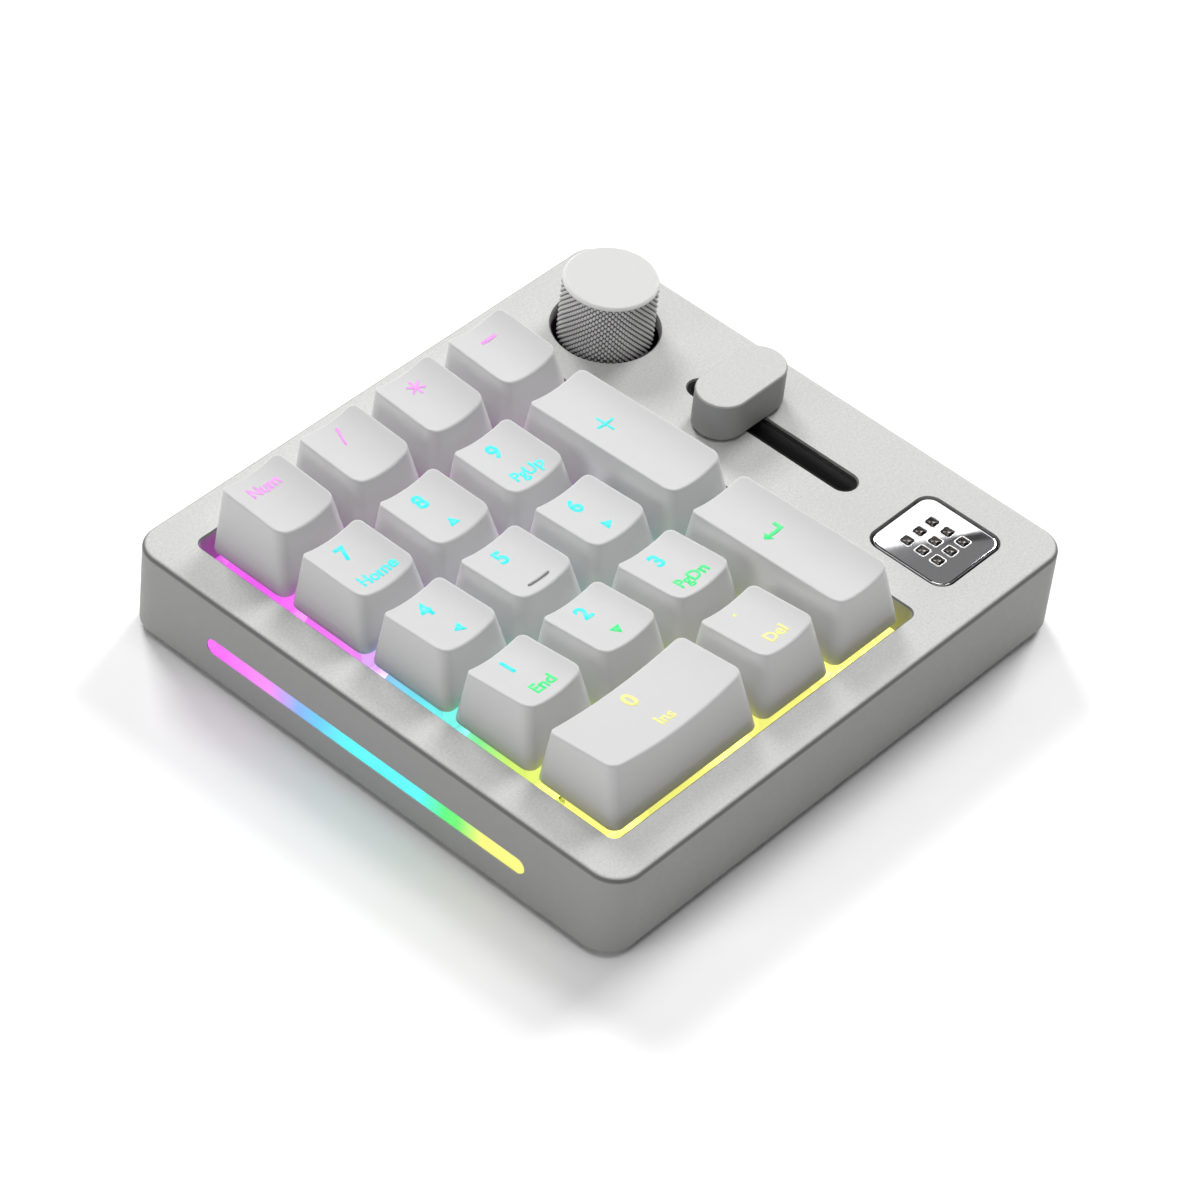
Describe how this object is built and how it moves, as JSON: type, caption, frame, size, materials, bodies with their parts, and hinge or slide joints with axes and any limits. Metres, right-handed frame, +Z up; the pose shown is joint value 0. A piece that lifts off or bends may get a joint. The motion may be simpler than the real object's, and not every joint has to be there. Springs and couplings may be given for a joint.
{
  "type": "numeric keypad",
  "caption": "Low rectangular numeric keypad with sprung light-through keys, a knurled rotary and push knob, a sliding fader and side light bars in a metal case.",
  "frame": {"origin": "middle of the underside, on the plane of the rubber feet", "axes": "+Z up out of the key side, +X to the user's right along the longer side, +Y away from the user, towards the port"},
  "size_m": [0.1214, 0.1136, 0.0306],
  "materials": {
    "case_metal": "fine sandblasted, clear anodised",
    "knob_metal": "turned and knurled, satin anodised",
    "badge_metal": "polished",
    "keycap_plastic": "fine grained, light grey",
    "light_diffuser": "milky diffuser, lit from behind",
    "plate_plastic": "frosted polycarbonate",
    "switch_plastic": "clear moulded",
    "stem_plastic": "moulded",
    "spring_steel": "plated wire",
    "board": "black solder mask",
    "foam": "closed cell foam",
    "rubber": "moulded",
    "black_plastic": "moulded",
    "cover_metal": "fine sandblasted, clear anodised",
    "screw_steel": "zinc plated",
    "port_steel": "stamped",
    "battery_wrap": "foil pouch"
  },
  "bodies": {
    "case": {"top_case": "case_metal", "bottom_cover": "cover_metal", "cover_screws": "screw_steel", "rubber_feet": "rubber", "light_bars": "light_diffuser", "badge": "badge_metal", "switch_plate": "plate_plastic", "foam_and_gaskets": "foam", "circuit_board": "board", "usb_c_port": "port_steel", "battery": "battery_wrap", "switch_lower_housings": "switch_plastic", "switch_upper_housings": "switch_plastic", "switch_springs": "spring_steel", "stabiliser_housings": "black_plastic", "encoder_body": "port_steel", "slide_pot_body": "black_plastic"},
    "num_key": {"num_keycap": "keycap_plastic", "num_stem": "stem_plastic"},
    "divide_key": {"divide_keycap": "keycap_plastic", "divide_stem": "stem_plastic"},
    "multiply_key": {"multiply_keycap": "keycap_plastic", "multiply_stem": "stem_plastic"},
    "minus_key": {"minus_keycap": "keycap_plastic", "minus_stem": "stem_plastic"},
    "seven_key": {"seven_keycap": "keycap_plastic", "seven_stem": "stem_plastic"},
    "eight_key": {"eight_keycap": "keycap_plastic", "eight_stem": "stem_plastic"},
    "nine_key": {"nine_keycap": "keycap_plastic", "nine_stem": "stem_plastic"},
    "plus_key": {"plus_keycap": "keycap_plastic", "plus_stem": "stem_plastic"},
    "four_key": {"four_keycap": "keycap_plastic", "four_stem": "stem_plastic"},
    "five_key": {"five_keycap": "keycap_plastic", "five_stem": "stem_plastic"},
    "six_key": {"six_keycap": "keycap_plastic", "six_stem": "stem_plastic"},
    "one_key": {"one_keycap": "keycap_plastic", "one_stem": "stem_plastic"},
    "two_key": {"two_keycap": "keycap_plastic", "two_stem": "stem_plastic"},
    "three_key": {"three_keycap": "keycap_plastic", "three_stem": "stem_plastic"},
    "enter_key": {"enter_keycap": "keycap_plastic", "enter_stem": "stem_plastic"},
    "zero_key": {"zero_keycap": "keycap_plastic", "zero_stem": "stem_plastic"},
    "decimal_key": {"decimal_keycap": "keycap_plastic", "decimal_stem": "stem_plastic"},
    "plus_stabiliser": {"plus_stabiliser_wire": "spring_steel"},
    "enter_stabiliser": {"enter_stabiliser_wire": "spring_steel"},
    "zero_stabiliser": {"zero_stabiliser_wire": "spring_steel"},
    "encoder_rotor": {"encoder_rotor": "black_plastic"},
    "knob": {"knob": "knob_metal", "encoder_shaft": "port_steel"},
    "fader": {"slider_cap": "knob_metal", "slide_pot_carriage": "black_plastic"},
    "mode_switch": {"mode_switch_lever": "black_plastic"}
  },
  "joints": [
    {"name": "num_key_press", "type": "slide", "parent": "case", "child": "num_key", "axis": [0, 0, -1], "range_m": [0, 0.004], "stiffness_N_per_m": 60, "springref_m": -0.006, "deforming": ["switch_springs"]},
    {"name": "divide_key_press", "type": "slide", "parent": "case", "child": "divide_key", "axis": [0, 0, -1], "range_m": [0, 0.004], "stiffness_N_per_m": 60, "springref_m": -0.006, "deforming": ["switch_springs"]},
    {"name": "multiply_key_press", "type": "slide", "parent": "case", "child": "multiply_key", "axis": [0, 0, -1], "range_m": [0, 0.004], "stiffness_N_per_m": 60, "springref_m": -0.006, "deforming": ["switch_springs"]},
    {"name": "minus_key_press", "type": "slide", "parent": "case", "child": "minus_key", "axis": [0, 0, -1], "range_m": [0, 0.004], "stiffness_N_per_m": 60, "springref_m": -0.006, "deforming": ["switch_springs"]},
    {"name": "seven_key_press", "type": "slide", "parent": "case", "child": "seven_key", "axis": [0, 0, -1], "range_m": [0, 0.004], "stiffness_N_per_m": 60, "springref_m": -0.006, "deforming": ["switch_springs"]},
    {"name": "eight_key_press", "type": "slide", "parent": "case", "child": "eight_key", "axis": [0, 0, -1], "range_m": [0, 0.004], "stiffness_N_per_m": 60, "springref_m": -0.006, "deforming": ["switch_springs"]},
    {"name": "nine_key_press", "type": "slide", "parent": "case", "child": "nine_key", "axis": [0, 0, -1], "range_m": [0, 0.004], "stiffness_N_per_m": 60, "springref_m": -0.006, "deforming": ["switch_springs"]},
    {"name": "plus_key_press", "type": "slide", "parent": "case", "child": "plus_key", "axis": [0, 0, -1], "range_m": [0, 0.004], "stiffness_N_per_m": 60, "springref_m": -0.006, "deforming": ["switch_springs"]},
    {"name": "four_key_press", "type": "slide", "parent": "case", "child": "four_key", "axis": [0, 0, -1], "range_m": [0, 0.004], "stiffness_N_per_m": 60, "springref_m": -0.006, "deforming": ["switch_springs"]},
    {"name": "five_key_press", "type": "slide", "parent": "case", "child": "five_key", "axis": [0, 0, -1], "range_m": [0, 0.004], "stiffness_N_per_m": 60, "springref_m": -0.006, "deforming": ["switch_springs"]},
    {"name": "six_key_press", "type": "slide", "parent": "case", "child": "six_key", "axis": [0, 0, -1], "range_m": [0, 0.004], "stiffness_N_per_m": 60, "springref_m": -0.006, "deforming": ["switch_springs"]},
    {"name": "one_key_press", "type": "slide", "parent": "case", "child": "one_key", "axis": [0, 0, -1], "range_m": [0, 0.004], "stiffness_N_per_m": 60, "springref_m": -0.006, "deforming": ["switch_springs"]},
    {"name": "two_key_press", "type": "slide", "parent": "case", "child": "two_key", "axis": [0, 0, -1], "range_m": [0, 0.004], "stiffness_N_per_m": 60, "springref_m": -0.006, "deforming": ["switch_springs"]},
    {"name": "three_key_press", "type": "slide", "parent": "case", "child": "three_key", "axis": [0, 0, -1], "range_m": [0, 0.004], "stiffness_N_per_m": 60, "springref_m": -0.006, "deforming": ["switch_springs"]},
    {"name": "enter_key_press", "type": "slide", "parent": "case", "child": "enter_key", "axis": [0, 0, -1], "range_m": [0, 0.004], "stiffness_N_per_m": 60, "springref_m": -0.006, "deforming": ["switch_springs"]},
    {"name": "zero_key_press", "type": "slide", "parent": "case", "child": "zero_key", "axis": [0, 0, -1], "range_m": [0, 0.004], "stiffness_N_per_m": 60, "springref_m": -0.006, "deforming": ["switch_springs"]},
    {"name": "decimal_key_press", "type": "slide", "parent": "case", "child": "decimal_key", "axis": [0, 0, -1], "range_m": [0, 0.004], "stiffness_N_per_m": 60, "springref_m": -0.006, "deforming": ["switch_springs"]},
    {"name": "plus_stabiliser_turn", "type": "hinge", "parent": "case", "child": "plus_stabiliser", "pos_m": [0.02417, 0.00953, 0.0086], "axis": [0, -1, 0], "range_deg": [0, 26]},
    {"name": "enter_stabiliser_turn", "type": "hinge", "parent": "case", "child": "enter_stabiliser", "pos_m": [0.02417, -0.02857, 0.0086], "axis": [0, -1, 0], "range_deg": [0, 26]},
    {"name": "zero_stabiliser_turn", "type": "hinge", "parent": "case", "child": "zero_stabiliser", "pos_m": [-0.03185, -0.0297, 0.0086], "axis": [1, 0, 0], "range_deg": [0, 26]},
    {"name": "knob_turn", "type": "hinge", "parent": "case", "child": "encoder_rotor", "pos_m": [0.0435, 0.0387, 0.019], "axis": [0, 0, -1], "continuous": true},
    {"name": "knob_press", "type": "slide", "parent": "encoder_rotor", "child": "knob", "axis": [0, 0, -1], "range_m": [0, 0.0005], "stiffness_N_per_m": 1200, "springref_m": -0.001},
    {"name": "fader_slide", "type": "slide", "parent": "case", "child": "fader", "axis": [0, 1, 0], "range_m": [-0.0234, 0.0066]},
    {"name": "mode_switch_slide", "type": "slide", "parent": "case", "child": "mode_switch", "axis": [1, 0, 0], "range_m": [-0.002, 0.002]}
  ],
  "couplings": [
    {"joint": "plus_stabiliser_turn", "follows": "plus_key_press", "rad_per_m": 111.1},
    {"joint": "enter_stabiliser_turn", "follows": "enter_key_press", "rad_per_m": 111.1},
    {"joint": "zero_stabiliser_turn", "follows": "zero_key_press", "rad_per_m": 111.1}
  ]
}
